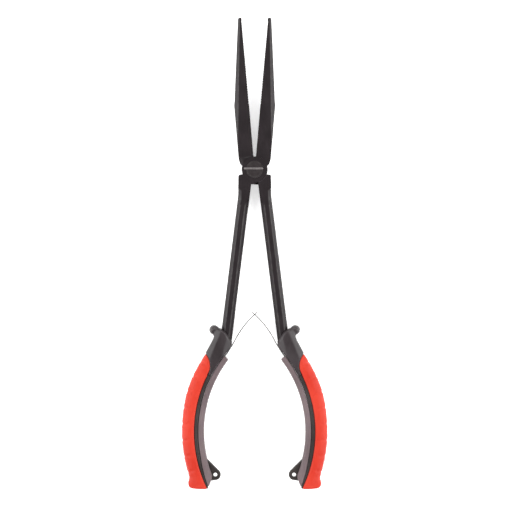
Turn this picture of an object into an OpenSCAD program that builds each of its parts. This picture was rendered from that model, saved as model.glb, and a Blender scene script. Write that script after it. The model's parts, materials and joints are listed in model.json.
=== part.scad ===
// Long-reach fishing pliers lying flat: two forged steel halves lapped on one rivet, moulded
// handles with a thumb guard and a lanyard lug, and two leaf springs hooked together between them.
// X runs across the jaws, Y along the tool towards the tips and Z is the thickness.
// The right-hand parts are drawn about the pivot, and a half turn about Y makes the left-hand ones.

/* [Overall] */
// Half of the angle between the jaws as the springs hold them open
open_half_angle = 4.93; // [4.5:0.01:5.2]
// Thickness of the handles and of the lapped hub
body_t = 13; // [12.5:0.1:14]

/* [Pivot] */
// Radius of the hub plates
hub_r = 7.6; // [7.4:0.1:8]
// Radius of the rivet's shank
rivet_r = 3.5; // [3:0.1:4]
// Radius of the rivet's flush heads
rivet_head_r = 5; // [4.5:0.1:5.4]
// Height of each rivet head
rivet_head_h = 1.6; // [1:0.1:2]

/* [Jaws] */
// Length of a jaw from the pivot to its tip
jaw_l = 90.1; // [80:0.1:95]
// Width of one closed jaw at its root
jaw_w = 8.85; // [8.6:0.05:9.2]
// Length along which a jaw keeps its full width
jaw_straight_l = 38.6; // [34:0.2:42]
// Width of one jaw at its tip
tip_w = 2.3; // [2:0.1:3]
// Thickness of a jaw at its tip
tip_t = 3.4; // [3:0.1:5]
// Spacing of the gripping teeth
tooth_pitch = 1.5; // [1.2:0.1:2]
// Depth of the gripping teeth
tooth_depth = 0.35; // [0.2:0.05:0.5]

/* [Arms] */
// Width of an arm
arm_w = 6.75; // [6:0.05:7]
// Thickness of an arm
arm_t = 8.6; // [8:0.1:9]
// Size of the bevels along an arm's edges
arm_bevel = 1.95; // [1.5:0.05:2]
// Slope of an arm's middle line away from the middle plane
arm_angle = 7.01; // [6.9:0.01:7.1]

/* [Handles] */
// Radius of the grip's outer side about the centre of the handle's bend
grip_out_r = 83; // [82.5:0.1:83.5]
// Radius where the red grip meets the handle core
grip_in_r = 75.6; // [75.2:0.1:75.8]
// Radius where the handle core meets the palm strip
core_in_r = 73.3; // [73.2:0.1:73.4]
// Radius of the palm strip's inner side
palm_r = 69.9; // [69.8:0.1:70.4]
// Distance from the pivot to the flat end of the handles
handle_end = 188.1; // [187.5:0.1:189]

/* [Lanyard lug] */
// Radius of the lanyard hole
lug_hole_r = 1.15; // [1:0.05:1.3]
// Outer radius of the lug's round end
lug_r = 3.2; // [3:0.1:3.6]
// Thickness of the lug
lug_t = 5; // [4:0.5:6]

/* [Springs] */
// Thickness of the spring strip
leaf_t = 0.6; // [0.5:0.05:0.7]
// Width of the spring strip
leaf_w = 5; // [4.6:0.1:5.4]
// Width of the tongue on the right spring
tongue_w = 1.8; // [1.6:0.1:2]
// Width of the slot in the left spring
slot_w = 2.4; // [2.2:0.1:2.6]

/* [Hidden] */
$fn = 96;

// Clearances
fixed_gap = 0.03;    // between pieces that never move against each other
turning_gap = 0.05;  // radial, between the rivet and the half that turns on it
shoulder_gap = 0.1;  // between a hub plate and the shoulder round it
lap_gap = 0.1;       // between the two hub plates
far = 300;           // reaches past the whole tool

// Places, from the pivot
mid_z = body_t / 2;
pivot_y = 49.2;                // puts the middle of the tool's length at Y = 0
notch = 2.9;                   // half the height of the waist at the hub
root_half_w = 9.6;             // half the width of the two arm roots together
crotch = [2.07, -8.7];         // corner where the arms part
arm_top = [6.35, -15];         // start of an arm's middle line
arm_l = 88.7;
bend = [-40, -154.5];          // centre of the right handle's bend
lug_hole = [23.2, -179.8];
leaf_root = [12.3, -101.95];   // where a spring starts to lean in from its handle
leaf_tip_y = -85.4;            // where the springs cross on the middle plane
foot_turn = [16.2, -108.1];    // where a spring's foot starts to follow the handle

// Angles about the centre of the bend
guard_end_a = 26.6;    // end of the thumb guard on the handle
palm_top_a = 37.6;
foot_end_a = 31;
spring_rivet_a = 34.8;
tang_a = [-10, 43];

tang_r = [74, 79.4];
tang_t = 5.2;
core_out_r = 80.2;
core_body_t = 8.4;

function bend_point(r, a) = bend + r * [cos(a), sin(a)];

// Round end of the red grip, against the thumb guard
nose_r = 11.4;
nose = bend_point(86.9, guard_end_a);

// ---- Shared shapes ----

module right_side() {
    translate([0, pivot_y, mid_z]) children();
}

module left_side() {
    right_side() rotate([0, 180, 0]) children();
}

module slab(t) {
    linear_extrude(t, center = true) children();
}

// Turns a section, drawn as radius and height, about the centre of the handle's bend
module along_bend(a0, a1) {
    translate(bend) rotate([0, 0, a0]) rotate_extrude(angle = a1 - a0, $fn = 240) children();
}

// Section with a corner radius c_in on its inner side and c_out on its outer side
module rounded_section(r_in, r_out, t, c_in, c_out) {
    function corner(x, y, c, a) = [for (i = [0 : 6]) [x, y] + c * [cos(a + 15 * i), sin(a + 15 * i)]];
    polygon(concat(
        corner(r_out - c_out, t / 2 - c_out, c_out, 0), corner(r_in + c_in, t / 2 - c_in, c_in, 90),
        corner(r_in + c_in, c_in - t / 2, c_in, 180), corner(r_out - c_out, c_out - t / 2, c_out, 270)
    ));
}

// The inner corner of the handle's end, which is cut off past the lug
module end_corner() {
    slab(far) polygon([[25.4, -182], [28.4, -188.6], [10, -188.6], [10, -182]]);
}

module below_end() {
    translate([-far, -handle_end - far, -far / 2]) cube([2 * far, far, far]);
}

// ---- Steel halves ----

function jaw_t(y) = body_t + (tip_t - body_t) * max(0, y - 8) / (jaw_l - 8);

// Block whose lower face lies on the points a, b and c, which run anticlockwise seen from above
module block_above(a, b, c) {
    u = (b - a) / norm(b - a);
    n = cross(b - a, c - a) / norm(cross(b - a, c - a));
    v = cross(n, u);
    multmatrix([
        [u[0], v[0], n[0], a[0]],
        [u[1], v[1], n[1], a[1]],
        [u[2], v[2], n[2], a[2]],
        [0, 0, 0, 1]
    ]) translate([-far / 2, -far / 2, 0]) cube(far);
}

// The right jaw as it lies when the pliers are closed, with its inner face on the middle plane
module jaw() {
    tip_round = 0.9;
    inner = fixed_gap;
    bevel_start = [jaw_w - 0.9, 24, jaw_t(24) / 2];
    bevel_end = [tip_w * 0.55, jaw_l, tip_t / 2];
    bevel_side = [jaw_w, jaw_straight_l, jaw_t(jaw_straight_l) / 2 - 3];
    difference() {
        intersection() {
            slab(body_t) polygon([
                [inner, notch], [7.36, 3.14], [8.23, 4.2], [jaw_w, 7.1], [jaw_w, jaw_straight_l],
                [jaw_w - 0.45, jaw_straight_l + 2.4], [tip_w, jaw_l - tip_round],
                [tip_w - 0.3, jaw_l - tip_round / 3], [tip_w - 0.8, jaw_l], [inner + 0.5, jaw_l],
                [inner, jaw_l - 0.5]
            ]);
            rotate([90, 0, 90]) linear_extrude(far) polygon([
                [0, -body_t / 2], [8, -body_t / 2], [jaw_l, -tip_t / 2],
                [jaw_l, tip_t / 2], [8, body_t / 2], [0, body_t / 2]
            ]);
        }
        // Bevels on the outer edges, wider and wider towards the tip
        for (side = [0, 1])
            mirror([0, 0, side]) block_above(bevel_start, bevel_side, bevel_end);
        for (y = [jaw_straight_l : tooth_pitch : jaw_l - 2 * tooth_pitch])
            slab(body_t + 1) translate([inner, y]) polygon([
                [-1, 0], [0, 0], [tooth_depth, tooth_pitch / 2], [0, tooth_pitch], [-1, tooth_pitch]
            ]);
    }
}

// A straight arm with bevelled edges, grown by gap all round
module arm(gap = 0) {
    w = arm_w / 2 + gap;
    t = arm_t / 2 + gap;
    b = arm_bevel;
    translate(arm_top) rotate([90, 0, arm_angle]) linear_extrude(arm_l + gap) polygon([
        [w, t - b], [w - b, t], [b - w, t], [-w, t - b],
        [-w, b - t], [b - w, -t], [w - b, -t], [w, b - t]
    ]);
}

// The tang carries on from the arm inside the handle
module tang(gap = 0) {
    along_bend(tang_a[0], tang_a[1])
        translate([tang_r[0] - gap, -tang_t / 2 - gap])
        square([tang_r[1] - tang_r[0] + 2 * gap, tang_t + 2 * gap]);
}

// Block that joins the right arm to the hub, thinning to the arm's thickness
module arm_root() {
    root_l = 24;
    inner = crotch + (root_l + crotch[1]) * [tan(arm_angle), -1];
    intersection() {
        slab(body_t) polygon([
            [7.1, -notch], [root_half_w - 0.5, -notch - 0.3], [root_half_w, -notch - 1],
            [root_half_w + 0.15, -17.5], [10.45, -root_l], inner, crotch, [crotch[0], -7]
        ]);
        rotate([90, 0, 90]) linear_extrude(far) polygon([
            [0, -body_t / 2], [-9.5, -body_t / 2], [-21, -arm_t / 2], [-root_l, -arm_t / 2 + 0.4],
            [-root_l, arm_t / 2 - 0.4], [-21, arm_t / 2], [-9.5, body_t / 2], [0, body_t / 2]
        ]);
    }
}

// The half with its jaw on the right and its arm on the left. Its hub plate is in front.
module steel_half() {
    web_past_middle = 0.3;
    plate_t = (body_t - lap_gap) / 2;
    difference() {
        union() {
            difference() {
                union() {
                    rotate([0, 0, -open_half_angle]) jaw();
                    rotate([0, 180, 0]) arm_root();
                }
                // Seat for the other half's hub plate
                translate([0, 0, -far]) cylinder(h = far + lap_gap / 2, r = hub_r + shoulder_gap);
                // Rounded throat between the jaws
                translate([0, hub_r + 1.1, 0]) cylinder(h = far, r = 0.9, center = true);
            }
            rotate([0, 180, 0]) {
                arm();
                tang();
            }
            // Hub plate and its web into the crotch
            translate([0, 0, lap_gap / 2]) {
                cylinder(h = plate_t, r = hub_r);
                linear_extrude(plate_t) polygon([
                    [-crotch[0] - 1, crotch[1]], [web_past_middle, crotch[1]],
                    [web_past_middle, -hub_r + 0.5], [-crotch[0] - 1, -hub_r + 0.9]
                ]);
            }
        }
        rotate([0, 180, 0]) spring_rivet_body(fixed_gap);
        cylinder(h = far, r = rivet_r + turning_gap, center = true);
        translate([0, 0, body_t / 2 - rivet_head_h]) cylinder(h = far, r = rivet_head_r + turning_gap);
    }
}

module front_steel_half() {
    color("#2b2a2c") right_side() steel_half();
}

module back_steel_half() {
    color("#2b2a2c") left_side() steel_half();
}

// A flush rivet. Its heads sit in the counterbores of the two halves.
module pivot_rivet() {
    color("#38373a") right_side() {
        cylinder(h = body_t, r = rivet_r, center = true);
        for (side = [-1, 1])
            translate([0, 0, side * (body_t - rivet_head_h + fixed_gap) / 2])
                cylinder(h = rivet_head_h - fixed_gap, r = rivet_head_r, center = true);
    }
}

// ---- Handles, drawn for the right-hand side ----

module lug(gap = 0) {
    slab(lug_t + 2 * gap) {
        translate(lug_hole) circle(lug_r + gap);
        polygon([
            lug_hole + (lug_r + gap) * [-sin(45), cos(45)], [34, -164.5 + gap],
            [34, -184.6 - gap], lug_hole + (lug_r + gap) * [0, -1]
        ]);
    }
}

// Moulded core: a dark strip that shows, a thicker body round the tang, and the lanyard lug
module handle_core() {
    difference() {
        union() {
            difference() {
                union() {
                    along_bend(-30, guard_end_a - 0.02) translate([core_in_r, 0.3 - body_t / 2])
                        square([grip_in_r - core_in_r, body_t - 0.6]);
                    along_bend(-30, guard_end_a - 0.02) translate([core_in_r, -core_body_t / 2])
                        square([core_out_r - core_in_r, core_body_t]);
                }
                end_corner();
            }
            lug();
        }
        tang(fixed_gap);
        below_end();
        translate(lug_hole) cylinder(h = far, r = lug_hole_r, center = true);
    }
}

// Thumb guard: it starts on the arm, rises into a horn and runs down to the red grip
module thumb_guard() {
    t = body_t - 0.4;
    horn = [24, -94.4];
    horn_r = 2.65;
    shoulder_a = 32.5;
    step = 0.05;    // the sleeve's lower stretch is this much lower on each face
    difference() {
        union() {
            slab(t) translate(horn) circle(horn_r);
            slab(t) polygon([
                [13.3, -98.2], [19.7, -93.6], [21.2, -93.3], horn + [-0.6, horn_r - 0.1],
                horn + [1.2, -2.2], [24.2, -97.3], [24.1, -98.4], [25, -100.6], [26.2, -102.9],
                [27.5, -105.2], [28.8, -107.6], bend_point(grip_out_r - 0.6, shoulder_a - 1),
                bend_point(palm_r, shoulder_a), bend_point(palm_r, 39.5), [14.1, -103.4]
            ]);
            along_bend(guard_end_a, shoulder_a + 1.5)
                translate([palm_r, step - t / 2]) square([grip_out_r - palm_r, t - 2 * step]);
        }
        translate(bend) cylinder(h = far, r = core_in_r + fixed_gap, center = true, $fn = 360);
        translate(nose) cylinder(h = far, r = nose_r + fixed_gap, center = true);
        arm(fixed_gap);
        tang(fixed_gap);
        spring_foot_body(fixed_gap);
        spring_rivet_body(fixed_gap);
    }
}

// Red outer grip, moulded round the core, with a small lip at its end
module red_grip() {
    lip_r = 4;
    difference() {
        union() {
            along_bend(-30, guard_end_a + 9)
                rounded_section(grip_in_r + fixed_gap, grip_out_r, body_t, 0.1, 4.6);
            translate([35.2, lip_r - 0.6 - handle_end, 0])
                cylinder(h = body_t - 2, r = lip_r, center = true);
        }
        // Past the guard's end only the round nose is left
        difference() {
            along_bend(guard_end_a, guard_end_a + 15)
                translate([palm_r, -body_t]) square([2 * (grip_out_r - palm_r), 2 * body_t]);
            translate(nose) cylinder(h = far, r = nose_r, center = true);
        }
        along_bend(-32, guard_end_a + 1)
            translate([core_in_r, -core_body_t / 2 - fixed_gap])
            square([core_out_r + fixed_gap - core_in_r, core_body_t + 2 * fixed_gap]);
        tang(fixed_gap);
        below_end();
    }
}

// Softer grey strip under the fingers
module palm_strip() {
    difference() {
        along_bend(-30, palm_top_a)
            rounded_section(palm_r, core_in_r - fixed_gap, body_t - 1.4, 2, 0.2);
        spring_foot_body(fixed_gap);
        spring_rivet_body(fixed_gap);
        lug(fixed_gap);
        end_corner();
        below_end();
    }
}

module left_handle_core() {
    color("#242325") left_side() handle_core();
}

module right_handle_core() {
    color("#242325") right_side() handle_core();
}

module left_thumb_guard() {
    color("#4a4748") left_side() thumb_guard();
}

module right_thumb_guard() {
    color("#4a4748") right_side() thumb_guard();
}

module left_red_grip() {
    color("#e8402f") left_side() red_grip();
}

module right_red_grip() {
    color("#e8402f") right_side() red_grip();
}

module left_palm_strip() {
    color("#6b6769") left_side() palm_strip();
}

module right_palm_strip() {
    color("#6b6769") right_side() palm_strip();
}

// ---- Leaf springs ----

// Fixed foot of a spring: a straight stretch, then a curve tucked under the palm strip
module spring_foot_body(gap = 0) {
    foot_r = norm(foot_turn - bend);
    foot_a = atan2(foot_turn[1] - bend[1], foot_turn[0] - bend[0]);
    run = foot_turn - leaf_root;
    start = 0.45 - gap;
    translate(leaf_root) rotate([0, 0, atan2(run[1], run[0])])
        translate([start, -leaf_t / 2 - gap, -leaf_w / 2 - gap])
        cube([norm(run) - start, leaf_t + 2 * gap, leaf_w + 2 * gap]);
    along_bend(foot_end_a, foot_a + 0.3)
        translate([foot_r - leaf_t / 2 - gap, -leaf_w / 2 - gap])
        square([leaf_t + 2 * gap, leaf_w + 2 * gap]);
}

// Rivet that holds a spring's foot to the tang
module spring_rivet_body(gap = 0) {
    head_r = 2.1;
    head_h = 0.7;
    shank_r = 1.2;
    foot_r = norm(foot_turn - bend);
    translate(bend) rotate([0, 0, spring_rivet_a]) rotate([0, 90, 0]) {
        translate([0, 0, foot_r - leaf_t / 2 - head_h - gap - fixed_gap])
            cylinder(h = head_h + gap, r = head_r + gap);
        translate([0, 0, foot_r - leaf_t / 2 - head_h])
            cylinder(h = tang_r[0] + 3 - foot_r + leaf_t / 2 + head_h, r = shank_r + gap);
    }
}

// The leaning stretch of a spring: an arc strip, bowed towards its own arm, that runs from a
// round root to just past the crossing
module spring_leaf() {
    bow_r = 52;
    past = 2.1;
    root_r = leaf_t / 2 + 0.05;
    tip = [0, leaf_tip_y];
    chord = norm(tip - leaf_root);
    half_a = asin(chord / 2 / bow_r);
    past_a = past * 180 / (PI * bow_r);
    lean = atan2(tip[1] - leaf_root[1], tip[0] - leaf_root[0]);
    translate(leaf_root) rotate([0, 0, lean]) translate([chord / 2, bow_r * cos(half_a), -leaf_w / 2])
        rotate([0, 0, -90 - half_a]) rotate_extrude(angle = 2 * half_a + past_a, $fn = 360)
        translate([bow_r - leaf_t / 2, 0]) square([leaf_t, leaf_w]);
    translate(leaf_root) cylinder(h = leaf_w, r = root_r, center = true);
}

// Keeps what lies within reach of the crossing, all through the thickness w
module near_crossing(w) {
    reach = 4.4;
    translate([-reach, leaf_tip_y - reach * 0.75, -w / 2]) cube([2 * reach, 2 * reach, w]);
}

// The right spring narrows to a tongue where it passes through the left one's slot
module right_leaf_spring() {
    color("#c9cacc") right_side() difference() {
        spring_leaf();
        for (side = [-1, 1])
            translate([0, 0, side * (tongue_w / 2 + leaf_w)]) near_crossing(2 * leaf_w);
    }
}

module left_leaf_spring() {
    color("#c9cacc") left_side() difference() {
        spring_leaf();
        near_crossing(slot_w);
    }
}

module left_spring_foot() {
    color("#c9cacc") left_side() difference() {
        spring_foot_body();
        spring_rivet_body(fixed_gap);
    }
}

module right_spring_foot() {
    color("#c9cacc") right_side() difference() {
        spring_foot_body();
        spring_rivet_body(fixed_gap);
    }
}

module left_spring_rivet() {
    color("#9a9b9e") left_side() spring_rivet_body();
}

module right_spring_rivet() {
    color("#9a9b9e") right_side() spring_rivet_body();
}

front_steel_half();
back_steel_half();
pivot_rivet();
left_handle_core();
right_handle_core();
left_thumb_guard();
right_thumb_guard();
left_red_grip();
right_red_grip();
left_palm_strip();
right_palm_strip();
left_spring_foot();
right_spring_foot();
left_leaf_spring();
right_leaf_spring();
left_spring_rivet();
right_spring_rivet();
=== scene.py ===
import json
import math
from itertools import product

import bmesh
import bpy
import numpy as np
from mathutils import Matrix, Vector


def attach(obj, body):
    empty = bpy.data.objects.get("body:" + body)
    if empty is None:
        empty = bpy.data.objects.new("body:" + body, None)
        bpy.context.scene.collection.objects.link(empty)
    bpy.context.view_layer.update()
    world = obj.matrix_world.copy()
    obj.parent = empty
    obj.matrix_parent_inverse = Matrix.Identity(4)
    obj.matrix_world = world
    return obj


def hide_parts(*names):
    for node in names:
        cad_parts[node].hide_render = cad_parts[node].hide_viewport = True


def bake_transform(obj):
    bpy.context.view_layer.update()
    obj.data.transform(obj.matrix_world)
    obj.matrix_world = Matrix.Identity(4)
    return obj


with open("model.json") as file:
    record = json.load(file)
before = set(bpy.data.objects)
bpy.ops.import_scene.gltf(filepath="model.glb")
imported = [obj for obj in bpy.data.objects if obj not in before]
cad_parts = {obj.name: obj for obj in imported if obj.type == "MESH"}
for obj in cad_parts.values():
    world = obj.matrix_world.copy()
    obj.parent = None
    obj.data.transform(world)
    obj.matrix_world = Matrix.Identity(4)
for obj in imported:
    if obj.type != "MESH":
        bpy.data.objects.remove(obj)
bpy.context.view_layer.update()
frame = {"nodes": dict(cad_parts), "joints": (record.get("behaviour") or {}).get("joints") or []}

# Lengths below are millimetres from the pivot, for the right-hand side of the tool. The left-hand
# pieces are the right-hand ones after half a turn about Y.
MM = 0.001
PIVOT = next(j for j in frame["joints"] if j["name"] == "jaw_pivot")["pos_m"]
BEND = (-40.0, -154.5)      # centre of the right handle's bend
END_Y = -188.1              # flat end of the handles
BODY_H = 6.5                # half the thickness of the hub and the grips
ARM_TOP = (6.35, -15.0)     # start of the arm's middle line
ARM_SLOPE = math.radians(7.01)
SIDES = {"right": (1, "back_half", "right_spring"), "left": (-1, "front_half", "left_spring")}


def placed(points, side):
    """Points of the right-hand side, in mm from the pivot, as metres in the row frame."""
    return np.asarray(points, float) * MM * np.array([side, 1, side]) + np.array(PIVOT)


# ---- Meshes ----

def new_piece(name, verts, faces, material, smooth_deg=40):
    """A finished mesh object made of those points and faces."""
    mesh = bpy.data.meshes.new(name)
    mesh.from_pydata([tuple(v) for v in verts], [], [tuple(int(i) for i in f) for f in faces])
    mesh.validate()
    piece = bpy.data.objects.new(name, mesh)
    bpy.context.scene.collection.objects.link(piece)
    finish_mesh(piece, material, smooth_deg)
    return piece


def finish_mesh(piece, material, smooth_deg):
    """Outward normals, smooth shading up to that angle, and the material."""
    bm = bmesh.new()
    bm.from_mesh(piece.data)
    bmesh.ops.recalc_face_normals(bm, faces=bm.faces)
    bm.to_mesh(piece.data)
    bm.free()
    piece.data.shade_smooth()
    piece.data.set_sharp_from_angle(angle=math.radians(smooth_deg))
    piece.data.materials.clear()
    piece.data.materials.append(material)


def add_wear(piece):
    """Writes how sharply the surface turns at each vertex into the attribute that wear reads."""
    bm = bmesh.new()
    bm.from_mesh(piece.data)
    wear = []
    for v in bm.verts:
        turn = max((e.calc_face_angle(0) for e in v.link_edges if len(e.link_faces) == 2), default=0)
        wear.append(min(1.0, turn / 0.6))
    bm.free()
    layer = piece.data.attributes.new("wear", "FLOAT", "POINT")
    layer.data.foreach_set("value", wear)


def surface_net(field, lo, hi, step):
    """Quads on the zero surface of a signed distance field, one vertex in each cell it crosses."""
    lo, hi = np.array(lo, float), np.array(hi, float)
    n = np.ceil((hi - lo) / step).astype(int) + 1
    axes = [lo[k] + step * np.arange(n[k]) for k in range(3)]
    dist = field(np.stack(np.meshgrid(*axes, indexing="ij"), -1))
    inside = dist < 0
    count = np.zeros(n - 1, int)
    for i, j, k in product((0, 1), repeat=3):
        count += inside[i:n[0] - 1 + i, j:n[1] - 1 + j, k:n[2] - 1 + k]
    crossed = (count > 0) & (count < 8)
    index = np.full(crossed.shape, -1)
    index[crossed] = np.arange(crossed.sum())
    at = np.argwhere(crossed)
    total, hits = np.zeros((len(at), 3)), np.zeros(len(at))
    for axis in range(3):
        u, v = (axis + 1) % 3, (axis + 2) % 3
        for du, dv in product((0, 1), repeat=2):
            base = at.copy()
            base[:, u] += du
            base[:, v] += dv
            tip = base.copy()
            tip[:, axis] += 1
            d0, d1 = dist[tuple(base.T)], dist[tuple(tip.T)]
            cross = (d0 < 0) != (d1 < 0)
            spot = base[cross].astype(float)
            spot[:, axis] += d0[cross] / (d0[cross] - d1[cross])
            total[cross] += spot
            hits[cross] += 1
    verts = lo + step * total / hits[:, None]
    quads = []
    for axis in range(3):
        u, v = (axis + 1) % 3, (axis + 2) % 3
        lower = np.moveaxis(inside, axis, 0)[:-1]
        upper = np.moveaxis(inside, axis, 0)[1:]
        edge = np.argwhere(np.moveaxis(lower != upper, 0, axis))
        edge = edge[(edge[:, u] > 0) & (edge[:, v] > 0) & (edge[:, u] < n[u] - 1) & (edge[:, v] < n[v] - 1)]
        ring = []
        for du, dv in ((1, 1), (0, 1), (0, 0), (1, 0)):
            cell = edge.copy()
            cell[:, u] -= du
            cell[:, v] -= dv
            ring.append(index[tuple(cell.T)])
        ring = np.stack(ring, 1)
        outward = inside[tuple(edge.T)]
        ring[~outward] = ring[~outward][:, ::-1]
        quads.append(ring)
    return verts, np.concatenate(quads)


def gradient(field, points, h=0.02):
    """How fast the field grows along each axis."""
    out = np.empty_like(points)
    for axis in range(3):
        shift = np.zeros(3)
        shift[axis] = h
        out[:, axis] = (field(points + shift) - field(points - shift)) / (2 * h)
    return out


def settled(field, verts, quads, rounds=3):
    """Evens out the net and draws it onto the surface."""
    a, b = quads.ravel(), np.roll(quads, -1, axis=1).ravel()
    for _ in range(rounds):
        total, hits = np.zeros_like(verts), np.zeros(len(verts))
        for s, t in ((a, b), (b, a)):
            np.add.at(total, s, verts[t])
            np.add.at(hits, s, 1)
        verts = verts + 0.5 * (total / hits[:, None] - verts)
        for _ in range(2):
            slope = gradient(field, verts)
            verts = verts - (field(verts) / np.maximum((slope ** 2).sum(1), 0.05))[:, None] * slope
    return verts


# ---- Signed distance shapes ----

def rmax(a, b, c):
    """What both shapes share, with a corner radius c."""
    return np.minimum(np.maximum(a, b), -c) + np.hypot(np.maximum(a + c, 0), np.maximum(b + c, 0))


def smin(a, b, k):
    """Both shapes together, with a fillet of about k."""
    h = np.clip(0.5 + 0.5 * (b - a) / k, 0, 1)
    return b + (a - b) * h - k * h * (1 - h)


def without(a, b, k):
    """Shape a with b cut out of it, with a fillet of about k."""
    return -smin(-a, b, k)


def polar(p):
    """Radius and angle in degrees about the centre of the handle's bend."""
    x, y = p[..., 0] - BEND[0], p[..., 1] - BEND[1]
    return np.hypot(x, y), np.degrees(np.arctan2(y, x))


def bend_point(r, a):
    """The point at that radius and angle about the centre of the handle's bend."""
    return (BEND[0] + r * math.cos(math.radians(a)), BEND[1] + r * math.sin(math.radians(a)))


def disc(p, centre, r):
    """Signed distance to an upright cylinder."""
    return np.hypot(p[..., 0] - centre[0], p[..., 1] - centre[1]) - r


def outline(p, corners):
    """Signed distance to a closed outline, seen from above."""
    x, y = p[..., 0], p[..., 1]
    best = np.full(x.shape, 1e9)
    inside = np.zeros(x.shape, bool)
    for (x0, y0), (x1, y1) in zip(corners, corners[1:] + corners[:1]):
        ex, ey = x1 - x0, y1 - y0
        t = np.clip(((x - x0) * ex + (y - y0) * ey) / (ex * ex + ey * ey), 0, 1)
        best = np.minimum(best, np.hypot(x - x0 - t * ex, y - y0 - t * ey))
        if y0 != y1:
            inside ^= ((y0 > y) != (y1 > y)) & (x < x0 + (y - y0) * ex / ey)
    return np.where(inside, -best, best)


def beyond(p, start, end):
    """Distance to the left of the line from start to end."""
    dx, dy = end[0] - start[0], end[1] - start[1]
    return (dx * (p[..., 1] - start[1]) - dy * (p[..., 0] - start[0])) / math.hypot(dx, dy)


# Radii and angles are about the centre of the handle's bend. H is half a thickness.
GUARD_END_A = 26.6          # where the thumb guard ends and the core's strip begins
NOSE = bend_point(86.9, GUARD_END_A)
NOSE_R = 11.4               # the red grip's rounded upper end
PALM_TOP_A = 37.6
END_CORNER = ((27.7, -188.6), (25.3, -182.0))   # line of the cut across the handle's end corner
CORE_IN_R, CORE_TOP_R, CORE_BODY_R, CORE_BODY_H = 73.3, 75.6, 80.2, 4.2
GRIP_R, PALM_R = 83.0, 69.9
RIB_PITCH = 9.6             # between the red grip's cross grooves
LUG_HOLE, LUG_R, LUG_HOLE_R, LUG_H = (23.2, -179.8), 3.2, 1.15, 2.5
ARM_HALF_W, ARM_HALF_T, ARM_BEVEL, ARM_L = 3.375, 4.3, 1.95, 88.7
FOOT_TURN, LEAF_ROOT, LEAF_TIP_Y = (16.2, -108.1), (12.3, -101.95), -85.4
FOOT_R = math.hypot(FOOT_TURN[0] - BEND[0], FOOT_TURN[1] - BEND[1])
FOOT_A = math.degrees(math.atan2(FOOT_TURN[1] - BEND[1], FOOT_TURN[0] - BEND[0]))
FOOT_END_A = 31             # end of a spring's foot inside the handle
LEAF_T, LEAF_H = 0.6, 2.5


def nose_edge(p, r, a):
    """Distance past the rounded upper end of the red grip."""
    return np.minimum(disc(p, NOSE, NOSE_R), np.radians(a - GUARD_END_A) * r)


def core_in(a):
    """Inner radius of the core's strip, which gives way to the palm strip at the handle's end."""
    return CORE_IN_R + 1.3 * np.clip((-12 - a) / 12, 0, 1)


def core_body(r, z, grow=0.0):
    """The part of the core that lies inside the red grip."""
    return rmax(r - CORE_BODY_R - grow, z - CORE_BODY_H - grow, 0.3)


def red_grip(p):
    """The outer grip: a rounded bar with cross grooves, a swell between them and a lip at its end."""
    r, a = polar(p)
    z = np.abs(p[..., 2])
    along = np.radians(a) * GRIP_R
    off = np.abs((along / RIB_PITCH) % 1 - 0.5) * RIB_PITCH
    groove = 0.34 * np.exp(-(off / 0.95) ** 2) * np.clip((r - 77.2) / 2.2, 0, 1)
    swell = 0.16 * np.cos(2 * np.pi * along / RIB_PITCH) * np.clip((r - 78.5) / 2.5, 0, 1)
    full = 0.45 * np.exp(-((a - 18) / 9) ** 2)
    d = rmax(r - GRIP_R + 0.1 - full, z - BODY_H, 4.4) + groove + 0.5 * swell
    lip = rmax(disc(p, (35.2, -184.7), 4.0), z - 5.2, 2.2)
    d = smin(d, lip, 1.6)
    d = rmax(d, CORE_TOP_R + 0.09 - r, 0.55)
    d = rmax(d, nose_edge(p, r, a), 0.7)
    d = rmax(d, END_Y - p[..., 1], 1.3)
    return without(d, rmax(core_body(r, z, 0.03), np.radians(a - GUARD_END_A) * r, 0.2), 0.1)


def lug(p, grow=0.0):
    """The lanyard lug with the web that joins it to the core, before its hole."""
    web = [(20.94, -177.54), (34.0, -164.5), (34.0, -184.6), (23.2, -183.0)]
    plan = smin(disc(p, LUG_HOLE, LUG_R), outline(p, web), 0.3) - grow
    return rmax(plan, np.abs(p[..., 2]) - LUG_H - grow, 0.9)


def handle_core(p):
    """The core: its grooved strip between the grips, its body inside them and the lug."""
    r, a = polar(p)
    z = np.abs(p[..., 2])
    middle, half = (core_in(a) + CORE_TOP_R) / 2, (CORE_TOP_R - core_in(a)) / 2
    strip = rmax(np.abs(r - middle) - half + 0.12, z - 5.95, 0.28)
    groove = 0.25 * (half / 1.15) ** 3 * np.exp(-((r - middle) / 0.7) ** 2)
    body = rmax(core_body(r, z), core_in(a) - r, 0.3)
    d = smin(np.where(z > 4.6, strip + groove, strip), body, 0.2)
    d = rmax(d, np.radians(a - GUARD_END_A + 0.02) * r, 0.25)
    d = rmax(d, beyond(p, *END_CORNER), 0.8)
    d = smin(d, np.maximum(lug(p), r - 75.0), 0.7)
    d = rmax(d, END_Y + 0.15 - p[..., 1], 0.4)
    return without(d, disc(p, LUG_HOLE, LUG_HOLE_R), 0.45)


def spring_foot(p, grow):
    """The foot of the leaf spring, as the slot that it leaves in the mouldings."""
    r, a = polar(p)
    across = np.abs(beyond(p, LEAF_ROOT, FOOT_TURN))
    run = (FOOT_TURN[0] - LEAF_ROOT[0], FOOT_TURN[1] - LEAF_ROOT[1])
    along = ((p[..., 0] - LEAF_ROOT[0]) * run[0] + (p[..., 1] - LEAF_ROOT[1]) * run[1]) / math.hypot(*run)
    straight = np.maximum(across, np.abs(along - 3.6) - 3.6)
    curved = np.maximum(np.abs(r - FOOT_R), np.maximum(a - FOOT_A - 0.4, FOOT_END_A - a) * 1.27)
    plan = np.minimum(straight, curved) - LEAF_T / 2
    return np.maximum(plan, np.abs(p[..., 2]) - LEAF_H) - grow


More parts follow.
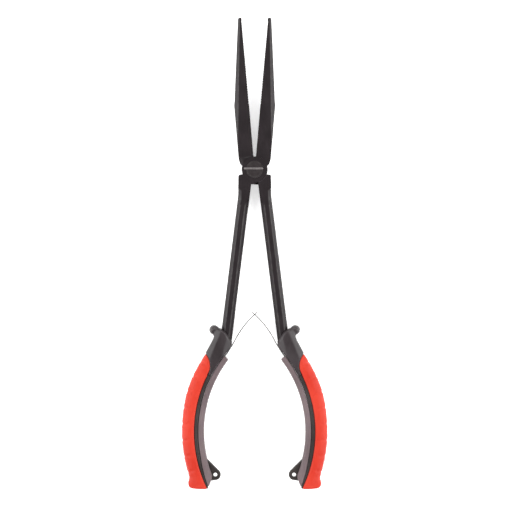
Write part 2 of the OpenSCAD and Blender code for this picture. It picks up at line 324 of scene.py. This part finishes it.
def arm(p, grow):
    """The arm, as the room that it takes in the thumb guard."""
    dx, dy = p[..., 0] - ARM_TOP[0], ARM_TOP[1] - p[..., 1]
    across = np.abs(dx * math.cos(ARM_SLOPE) - dy * math.sin(ARM_SLOPE))
    down = dx * math.sin(ARM_SLOPE) + dy * math.cos(ARM_SLOPE)
    z = np.abs(p[..., 2])
    d = np.maximum(across - ARM_HALF_W, z - ARM_HALF_T)
    d = np.maximum(d, (across + z - ARM_HALF_W - ARM_HALF_T + ARM_BEVEL) / math.sqrt(2))
    return np.maximum(d, down - ARM_L) - grow


def thumb_guard(p):
    """The sleeve round the end of the arm, with a facet on each side and the round horn."""
    r, a = polar(p)
    z = np.abs(p[..., 2])
    sleeve = [(13.35, -101.3), (15.1, -98.6), (17.3, -95.6), (19.5, -94.0), (21.4, -93.3), (23.2, -92.6),
              (24.4, -96.8), (24.1, -98.4), (25.0, -100.6), (26.2, -102.9), (27.5, -105.2), (28.8, -107.6)]
    sleeve += [bend_point(GRIP_R, x) for x in (32.8, 31.2, 29.6, 28.0, 26.0)]
    sleeve += [bend_point(CORE_IN_R - 1.5, x) for x in (26, 29.6, 32, 34.4, 36.8, 39.2, 41.6, 43.6)]
    sleeve += [(13.5, -103.4)]
    horn = disc(p, (24.0, -94.4), 2.65)
    plan = smin(outline(p, sleeve), horn, 0.9)
    outer = beyond(p, (27.4, -113.0), (20.6, -96.5))
    inner = beyond(p, (15.9, -96.0), (18.9, -109.0))
    top = 6.35 + 0.57 * smin(0 * z, outer, 0.8) + 0.42 * smin(0 * z, inner, 0.8)
    lobe = np.hypot(horn + 2.65, z / 1.75) - 2.75
    d = smin(rmax(plan, z - top, 1.5), lobe, 0.5)
    d = rmax(d, CORE_IN_R + 0.06 - r, 0.3)
    d = without(d, disc(p, NOSE, NOSE_R + 0.12), 0.35)
    d = rmax(d, np.radians(GUARD_END_A - a) * r + 0.03, 0.3)
    d = without(d, arm(p, 0.06), 0.2)
    return without(d, spring_foot(p, 0.2), 0.15)


def palm_strip(p):
    """The strip along the handle's inner side."""
    r, a = polar(p)
    z = np.abs(p[..., 2])
    d = rmax(PALM_R - r, z - 5.8, 2.1)
    d = rmax(d, r - core_in(a) + 0.09, 0.45)
    d = rmax(d, np.radians(a - PALM_TOP_A) * r, 0.7)
    d = rmax(d, END_Y - p[..., 1], 0.8)
    d = rmax(d, beyond(p, *END_CORNER), 0.9)
    d = without(d, lug(p, 0.1), 0.2)
    return without(d, spring_foot(p, 0.12), 0.1)


# ---- Materials ----

def srgb(r, g, b):
    """A screen colour, 0 to 255 a channel, as the linear colour that a shader takes."""
    channels = [c / 255 for c in (r, g, b)]
    return tuple(((c + 0.055) / 1.055) ** 2.4 if c > 0.04 else c / 12.92 for c in channels) + (1.0,)


def shaded(colour, factor):
    return tuple(c * factor for c in colour[:3]) + (1,)


class Nodes:
    """A short way to write a material's node tree."""

    def __init__(self, name):
        self.material = bpy.data.materials.new(name)
        self.material.use_nodes = True
        self.tree = self.material.node_tree
        self.bsdf = self.tree.nodes["Principled BSDF"]
        self.place = self.add("ShaderNodeTexCoord").outputs["Object"]

    def add(self, kind, **values):
        node = self.tree.nodes.new(kind)
        for key, value in values.items():
            if hasattr(node, key):
                setattr(node, key, value)
            else:
                self.put(node.inputs[key.replace("_", " ").title() if key not in node.inputs else key], value)
        return node

    def put(self, socket, value):
        if isinstance(value, bpy.types.NodeSocket):
            self.tree.links.new(value, socket)
        else:
            socket.default_value = value

    def noise(self, scale, detail=3.0, stretch=None):
        place = self.place
        if stretch:
            mapping = self.add("ShaderNodeMapping")
            self.put(mapping.inputs["Vector"], self.place)
            mapping.inputs["Scale"].default_value = stretch
            place = mapping.outputs[0]
        node = self.add("ShaderNodeTexNoise", Scale=scale, Detail=detail)
        self.put(node.inputs["Vector"], place)
        return node.outputs["Fac"]

    def ramp(self, value, low, high, a=0.0, b=1.0):
        node = self.add("ShaderNodeMapRange")
        for socket, x in zip(("Value", "From Min", "From Max", "To Min", "To Max"), (value, low, high, a, b)):
            self.put(node.inputs[socket], x)
        return node.outputs[0]

    def mix(self, factor, a, b):
        node = self.add("ShaderNodeMix", data_type="RGBA")
        self.put(node.inputs["Factor"], factor)
        self.put(node.inputs[6], a)
        self.put(node.inputs[7], b)
        return node.outputs[2]

    def times(self, a, b):
        node = self.add("ShaderNodeMath", operation="MULTIPLY")
        self.put(node.inputs[0], a)
        self.put(node.inputs[1], b)
        return node.outputs[0]

    def bump(self, height, distance, strength=1.0, below=None):
        node = self.add("ShaderNodeBump")
        node.inputs["Strength"].default_value = strength
        node.inputs["Distance"].default_value = distance
        self.put(node.inputs["Height"], height)
        if below is not None:
            self.put(node.inputs["Normal"], below)
        return node.outputs[0]

    def finish(self, colour, rough, normal=None, metallic=0.0, **more):
        self.put(self.bsdf.inputs["Base Color"], colour)
        self.put(self.bsdf.inputs["Roughness"], rough)
        self.bsdf.inputs["Metallic"].default_value = metallic
        if normal is not None:
            self.put(self.bsdf.inputs["Normal"], normal)
        for key, value in more.items():
            self.put(self.bsdf.inputs[key.replace("_", " ")], value)
        return self.material


def coated_steel(name, colour, bare, rough):
    """Black-coated steel: fine forged grain, faint streaks along the tool, coating rubbed on its edges."""
    n = Nodes(name)
    grain = n.noise(5200, 4.0)
    cloud = n.noise(95, 3.0)
    streak = n.noise(420, 3.0, stretch=(4.0, 0.25, 4.0))
    edge = n.add("ShaderNodeAttribute", attribute_name="wear").outputs["Fac"]
    rubbed = n.times(n.ramp(edge, 0.35, 0.95), n.ramp(n.noise(520, 5.0), 0.28, 0.74))
    tone = n.mix(n.ramp(cloud, 0.3, 0.7), shaded(colour, 0.82), shaded(colour, 1.2))
    tone = n.mix(n.times(rubbed, 0.36), tone, bare)
    shine = n.times(n.ramp(streak, 0.3, 0.7, rough - 0.05, rough + 0.07), n.ramp(cloud, 0.3, 0.7, 0.94, 1.06))
    normal = n.bump(grain, 0.00004, 0.55, n.bump(streak, 0.00003, 0.35))
    return n.finish(tone, shine, normal, Specular_IOR_Level=0.2)


def rubber(name, colour, light, rough, pebble=2600, depth=0.00006, gloss=0.16):
    """Moulded rubber: a fine pebbled skin, slight colour drift and paler rubbed crests."""
    n = Nodes(name)
    cloud = n.noise(60, 3.0)
    speck = n.noise(3800, 2.0)
    cells = n.add("ShaderNodeTexVoronoi", Scale=pebble)
    n.put(cells.inputs["Vector"], n.place)
    edge = n.add("ShaderNodeAttribute", attribute_name="wear").outputs["Fac"]
    tone = n.mix(n.ramp(cloud, 0.28, 0.72), colour, light)
    tone = n.mix(n.times(n.ramp(speck, 0.52, 0.75), 0.22), tone, light)
    tone = n.mix(n.times(n.ramp(edge, 0.3, 1.0), 0.25), tone, light)
    shine = n.times(n.ramp(cloud, 0.3, 0.7, rough - 0.05, rough + 0.05), n.ramp(speck, 0.3, 0.7, 0.95, 1.05))
    normal = n.bump(cells.outputs["Distance"], depth, 0.5, n.bump(speck, 0.00003, 0.4))
    return n.finish(tone, shine, normal, Specular_IOR_Level=gloss)


def bright_steel(name, colour, rough):
    """Bare steel with brush lines and small scuffs."""
    n = Nodes(name)
    lines = n.noise(1500, 4.0, stretch=(0.5, 0.5, 9.0))
    scuff = n.noise(700, 5.0)
    tone = n.mix(n.ramp(scuff, 0.35, 0.65), shaded(colour, 0.72), colour)
    shine = n.ramp(lines, 0.3, 0.7, rough - 0.08, rough + 0.1)
    return n.finish(tone, shine, n.bump(lines, 0.00002, 0.5), metallic=1.0)


STEEL = coated_steel("coated_black_steel", srgb(29, 24, 26), srgb(92, 89, 88), 0.34)
RIVET = coated_steel("coated_rivet_steel", srgb(34, 29, 30), srgb(98, 95, 94), 0.32)
PLASTIC = rubber("black_handle_plastic", srgb(38, 33, 32), srgb(54, 49, 48), 0.36, 3200, 0.00003)
GUARD = rubber("grey_guard_rubber", srgb(33, 27, 29), srgb(49, 43, 45), 0.36, gloss=0.34)
RED = rubber("red_grip_rubber", srgb(168, 40, 26), srgb(182, 52, 36), 0.46)
PALM = rubber("light_grey_palm_rubber", srgb(85, 73, 75), srgb(104, 91, 93), 0.5)
SPRING = bright_steel("bright_spring_steel", srgb(128, 127, 122), 0.34)
SATIN = bright_steel("satin_plate", srgb(146, 140, 140), 0.38)


# ---- Mouldings on the handles ----

MOULDINGS = [
    # name, field, grid step, box, material, slot
    ("handle_core", handle_core, 0.38, ((18.5, -189.5, -7.3), (42.5, -116, 7.3)), PLASTIC, "black_plastic"),
    ("thumb_guard", thumb_guard, 0.42, ((11.5, -123, -7.3), (34.5, -90.5, 7.3)), GUARD, "grey_rubber"),
    ("red_grip", red_grip, 0.55, ((24, -189.5, -7.6), (44.6, -106, 7.6)), RED, "red_rubber"),
    ("palm_strip", palm_strip, 0.42, ((14, -189.5, -7.0), (35, -108, 7.0)), PALM, "light_grey_rubber"),
]
for part, field, step, (low, high), material, slot in MOULDINGS:
    grid_step = step
    net, quads = surface_net(field, low, high, grid_step)
    net = settled(field, net, quads)
    for side, (sign, body, _) in SIDES.items():
        piece = new_piece(f"{side}_{part}_skin", placed(net, sign), quads, material, 50)
        add_wear(piece)
        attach(piece, body)
        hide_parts(f"{side}_{part}")


# ---- Steel halves ----

# Chamfers on the block between hub and arm: distance below the pivot and width
OUTER_CHAMFER = ((10.9, 0.0), (12.5, 1.9), (17.5, 1.9), (21.0, 1.58), (24.0, 1.13), (24.3, 1.1))
INNER_CHAMFER = ((16.7, 0.0), (18.3, 1.9), (21.0, 2.03), (24.0, 1.58), (24.3, 1.55))
# The block itself: its outer side, its inner side and its face, each as distances below the pivot
# and how far out the block reaches there
BLOCK_OUTER = ((3.9, 17.5, 21.0, 24.0), (9.6, 9.75, 10.13, 10.45))
BLOCK_INNER = ((8.7, 24.3), (2.07, 3.9888))
BLOCK_FACE = ((9.5, 21.0, 24.0, 24.3), (6.5, 4.3, 3.9, 3.86))


def block_chamfers(side):
    """A mesh that cuts the chamfers off the block of the arm on the given side."""
    bm = bmesh.new()
    past = 1.2      # how far the cutter stands out of the block
    for chamfer, wall, out in ((OUTER_CHAMFER, BLOCK_OUTER, 1), (INNER_CHAMFER, BLOCK_INNER, -1)):
        for face in (-side, side):
            rows = []
            for down, width in chamfer:
                x, z = np.interp(down, *wall), np.interp(down, *BLOCK_FACE)
                corners = (
                    (x - out * (width + past), z + past), (x + out * past, z - width - past),
                    (x + out * past, z + past),
                )
                rows.append([bm.verts.new(placed((cx, -down, face * cz), side)) for cx, cz in corners])
            bm.faces.new(rows[0])
            bm.faces.new(rows[-1])
            for a, b in zip(rows, rows[1:]):
                for k in range(3):
                    bm.faces.new((a[k], a[(k + 1) % 3], b[(k + 1) % 3], b[k]))
    bmesh.ops.recalc_face_normals(bm, faces=bm.faces)
    mesh = bpy.data.meshes.new("block_chamfers")
    bm.to_mesh(mesh)
    bm.free()
    return mesh


def cut_mesh(mesh, cutter):
    """The mesh with the cutter's shapes taken away."""
    objects = [bpy.data.objects.new(f"cut_{k}", data) for k, data in enumerate((mesh, cutter))]
    for made in objects:
        bpy.context.scene.collection.objects.link(made)
    take = objects[0].modifiers.new("take", "BOOLEAN")
    take.operation = "DIFFERENCE"
    take.solver = "EXACT"
    take.object = objects[1]
    bpy.context.view_layer.update()
    ready = objects[0].evaluated_get(bpy.context.evaluated_depsgraph_get())
    result = bpy.data.meshes.new_from_object(ready)
    for made in objects:
        bpy.data.objects.remove(made)
    return result


def joined(bm, verts, dist):
    """Joins vertices that nearly touch, and faces that lie in one plane."""
    bmesh.ops.remove_doubles(bm, verts=verts, dist=dist)
    bmesh.ops.dissolve_limit(bm, angle_limit=math.radians(1.0), verts=bm.verts, edges=bm.edges)


def forging(half, side):
    """A steel half with chamfers on its block and its long sharp edges broken and rubbed."""
    name = f"{half}_steel_half_forging"
    bm = bmesh.new()
    bm.from_mesh(frame["nodes"][f"{half}_steel_half"].data)
    joined(bm, bm.verts, 2e-6)
    whole = bpy.data.meshes.new(name)
    bm.to_mesh(whole)
    bm.clear()
    bm.from_mesh(cut_mesh(whole, block_chamfers(side)))
    layer = bm.faces.layers.float.new("wear")
    joined(bm, [v for v in bm.verts if -24.5 * MM < v.co.y - PIVOT[1] < 9.5 * MM], 0.15 * MM)
    sharp = [
        e for e in bm.edges
        if len(e.link_faces) == 2 and e.calc_face_angle(0) > math.radians(18) and e.calc_length() > 30 * MM
    ]
    broken = bmesh.ops.bevel(
        bm, geom=sharp, offset=0.3 * MM, offset_type="OFFSET", segments=2, profile=0.5,
        affect="EDGES", clamp_overlap=False,
    )["faces"]
    for face in broken:
        face[layer] = 1.0
    mesh = bpy.data.meshes.new(name)
    bm.to_mesh(mesh)
    bm.free()
    piece = bpy.data.objects.new(name, mesh)
    bpy.context.scene.collection.objects.link(piece)
    finish_mesh(piece, STEEL, 30)
    flat = piece.modifiers.new("flat_faces", "WEIGHTED_NORMAL")
    flat.keep_sharp = True
    flat.weight = 100
    return piece


for half, body, side in (("front", "front_half", -1), ("back", "back_half", 1)):
    piece = forging(half, side)
    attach(piece, body)
    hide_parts(f"{half}_steel_half")


def lathe(name, profile, turns, material, place):
    """Turns a closed profile of (radius, height) points, which starts and ends on the axis, about Z."""
    verts, faces = [], []
    rings = []
    for r, z in profile:
        if r == 0:
            rings.append([len(verts)])
            verts.append(place(0, 0, z))
        else:
            rings.append(list(range(len(verts), len(verts) + turns)))
            for i in range(turns):
                a = 2 * math.pi * i / turns
                verts.append(place(r * math.cos(a), r * math.sin(a), z))
    for low, high in zip(rings, rings[1:]):
        for i in range(turns):
            j = (i + 1) % turns
            face = [low[i % len(low)], low[j % len(low)], high[j % len(high)], high[i % len(high)]]
            face = list(dict.fromkeys(face))
            if len(face) > 2:
                faces.append(face)
    return new_piece(name, verts, faces, material, 35)


def about_pivot(x, y, z):
    return tuple(placed((x, y, z), 1))


half_profile = [
    (0, 6.40), (0.55, 6.40), (0.75, 6.46), (3.5, 6.46), (3.7, 6.40), (3.95, 6.40), (4.15, 6.46),
    (4.8, 6.46), (4.97, 6.34), (4.97, 4.95), (3.49, 4.93),
]
rivet = lathe(
    "pivot_rivet_turned", half_profile + [(r, -z) for r, z in half_profile[::-1]], 96, RIVET, about_pivot
)
add_wear(rivet)
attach(rivet, "front_half")
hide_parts("pivot_rivet")


def plate(name, centre, length, width, low, high, material):
    """A thin plate with round ends and a broken upper edge."""
    lines = []
    for inset, z in ((0, low), (0, high - 0.04), (0.04, high)):
        r = width / 2 - inset
        ring = []
        for end, start in ((1, -90), (-1, 90)):
            for i in range(9):
                a = math.radians(start + 22.5 * i)
                x = centre[0] + end * (length - width) / 2 + r * math.cos(a)
                ring.append((x, centre[1] + r * math.sin(a), z))
        lines.append(ring)
    count = len(lines[0])
    verts = placed([v for ring in lines for v in ring], 1)
    faces = [
        (k * count + i, k * count + (i + 1) % count, (k + 1) * count + (i + 1) % count, (k + 1) * count + i)
        for k in range(2) for i in range(count)
    ]
    faces += [tuple(range(count)), tuple(range(2 * count, 3 * count))]
    return new_piece(name, verts, faces, material, 30)


badge = plate("hub_plate_bar", (-0.7, 0.55), 11.4, 1.15, 6.36, 6.56, SATIN)
add_wear(badge)
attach(badge, "front_half")


# ---- Leaf springs ----

def leaf_path():
    """Middle line of a spring strip from the end of its foot to its tip, with the place of its root."""
    points = [bend_point(FOOT_R, FOOT_END_A + (FOOT_A - FOOT_END_A) * i / 12) for i in range(13)]
    for i in range(1, 9):
        t = i / 8
        points.append(tuple(FOOT_TURN[k] + (LEAF_ROOT[k] - FOOT_TURN[k]) * t for k in range(2)))
    root = len(points) - 1
    bow_r, past = 52.0, 2.1
    chord = math.hypot(LEAF_ROOT[0], LEAF_TIP_Y - LEAF_ROOT[1])
    half = math.asin(chord / 2 / bow_r)
    lean = math.atan2(LEAF_TIP_Y - LEAF_ROOT[1], -LEAF_ROOT[0])
    rise = bow_r * math.cos(half)
    centre = (
        LEAF_ROOT[0] + chord / 2 * math.cos(lean) - rise * math.sin(lean),
        LEAF_ROOT[1] + chord / 2 * math.sin(lean) + rise * math.cos(lean),
    )
    first, whole = lean - math.pi / 2 - half, 2 * half + past / bow_r
    for i in range(1, 41):
        a = first + whole * i / 40
        points.append((centre[0] + bow_r * math.cos(a), centre[1] + bow_r * math.sin(a)))
    return points, root


def spring_strip(name, side, lanes, keep, notch_from):
    """A strip along the path. lanes are its heights, and keep says which lanes run on past the notch."""
    points, root = leaf_path()
    count = len(points)
    verts = np.zeros((count, 2, len(lanes), 3))
    for i, (x, y) in enumerate(points):
        x0, y0 = points[max(i - 1, 0)]
        x1, y1 = points[min(i + 1, count - 1)]
        size = math.hypot(x1 - x0, y1 - y0)
        nx, ny = -(y1 - y0) / size * LEAF_T / 2, (x1 - x0) / size * LEAF_T / 2
        for k, z in enumerate(lanes):
            verts[i, 0, k] = (x - nx, y - ny, z)
            verts[i, 1, k] = (x + nx, y + ny, z)
    solid = np.ones((count - 1, len(lanes) - 1), bool)
    solid[notch_from:, :] = keep
    index = np.arange(count * 2 * len(lanes)).reshape(count, 2, len(lanes))
    faces = []

    def filled(i, k):
        return 0 <= i < solid.shape[0] and 0 <= k < solid.shape[1] and solid[i, k]

    for i, k in np.argwhere(solid):
        for w in (0, 1):
            faces.append((index[i, w, k], index[i + 1, w, k], index[i + 1, w, k + 1], index[i, w, k + 1]))
        for step, at in ((-1, i), (1, i + 1)):
            if not filled(i + step, k):
                faces.append((index[at, 0, k], index[at, 1, k], index[at, 1, k + 1], index[at, 0, k + 1]))
        for step, at in ((-1, k), (1, k + 1)):
            if not filled(i, k + step):
                faces.append((index[i, 0, at], index[i + 1, 0, at], index[i + 1, 1, at], index[i, 1, at]))
    used = sorted({v for f in faces for v in f})
    new = {old: i for i, old in enumerate(used)}
    flat = verts.reshape(-1, 3)
    piece = new_piece(name, placed(flat[used], side), [[new[v] for v in f] for f in faces], SPRING, 30)
    bm = bmesh.new()
    bm.from_mesh(piece.data)
    sharp = [e for e in bm.edges if len(e.link_faces) == 2 and e.calc_face_angle(0) > 0.9]
    bmesh.ops.bevel(
        bm, geom=sharp, offset=0.1 * MM, segments=2, profile=0.5, affect="EDGES", clamp_overlap=True
    )
    bm.to_mesh(piece.data)
    bm.free()
    finish_mesh(piece, SPRING, 35)
    return piece, points, root


NOTCH_FROM = 47     # the step of the path from which the right strip is a tongue and the left a fork
for side, (sign, body, spring) in SIDES.items():
    half_w = 0.9 if side == "right" else 1.2
    keep = [side == "left", side == "right", side == "left"]
    piece, points, root = spring_strip(
        f"{side}_spring_strip", sign, (-LEAF_H, -half_w, half_w, LEAF_H), keep, NOTCH_FROM
    )
    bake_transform(piece)
    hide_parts(f"{side}_spring_foot", f"{side}_leaf_spring")
    rivet_node = frame["nodes"][f"{side}_spring_rivet"]
    for i in range(len(rivet_node.material_slots)):
        rivet_node.material_slots[i].material = RIVET


# ---- Floor, light and camera ----

def floor():
    """A pale floor, lit faintly from below like a light table. It lies just under the tool."""
    n = Nodes("pale_floor")
    tone = n.mix(n.ramp(n.noise(14, 2.0), 0.3, 0.7), srgb(246, 246, 246), srgb(250, 250, 250))
    material = n.finish(tone, n.ramp(n.noise(220, 3.0), 0.3, 0.7, 0.75, 0.85), None, Specular_IOR_Level=0.2,
                        Emission_Color=(1, 1, 1, 1), Emission_Strength=0.45)
    reach = 3.0
    verts = [(x, y, -0.0002) for x, y in ((-reach, -reach), (reach, -reach), (reach, reach), (-reach, reach))]
    ground = new_piece("floor", verts, [(0, 1, 2, 3)], material)


def soft_light(name, place, size, power):
    """A rectangular lamp that faces the tool's middle."""
    light = bpy.data.lights.new(name, "AREA")
    light.shape = "RECTANGLE"
    light.size, light.size_y = size
    light.energy = power
    lamp = bpy.data.objects.new(name, light)
    lamp.location = place
    lamp.rotation_euler = (-Vector(place)).to_track_quat("-Z", "Y").to_euler()
    bpy.context.scene.collection.objects.link(lamp)


floor()
soft_light("left_softbox", (-0.85, 0.05, 0.5), (0.8, 1.4), 14)
soft_light("right_softbox", (0.85, 0.05, 0.5), (0.8, 1.4), 14)
soft_light("back_softbox", (0, 1.0, 0.85), (1.2, 0.7), 12)
soft_light("front_softbox", (0, -1.2, 0.85), (1.2, 0.7), 12)

world = bpy.data.worlds.new("studio")
world.use_nodes = True
world.node_tree.nodes["Background"].inputs["Color"].default_value = (1, 1, 1, 1)
world.node_tree.nodes["Background"].inputs["Strength"].default_value = 0.3
bpy.context.scene.world = world
bpy.context.scene.view_settings.view_transform = "Standard"

# The camera looks straight down on the tool
MM_PER_PIXEL = 0.59
FRAME_PIXELS = 510
PIVOT_PIXEL = (254.7, 169.7)    # where the pivot falls in the picture
DISTANCE = 1.6
camera_data = bpy.data.cameras.new("camera")
camera_data.sensor_width = 36
camera_data.lens = 36 * DISTANCE / (FRAME_PIXELS * MM_PER_PIXEL * MM)
camera = bpy.data.objects.new("camera", camera_data)
camera.location = (
    (FRAME_PIXELS / 2 - PIVOT_PIXEL[0]) * MM_PER_PIXEL * MM,
    PIVOT[1] - (FRAME_PIXELS / 2 - PIVOT_PIXEL[1]) * MM_PER_PIXEL * MM,
    DISTANCE + PIVOT[2],
)
bpy.context.scene.collection.objects.link(camera)
bpy.context.scene.camera = camera
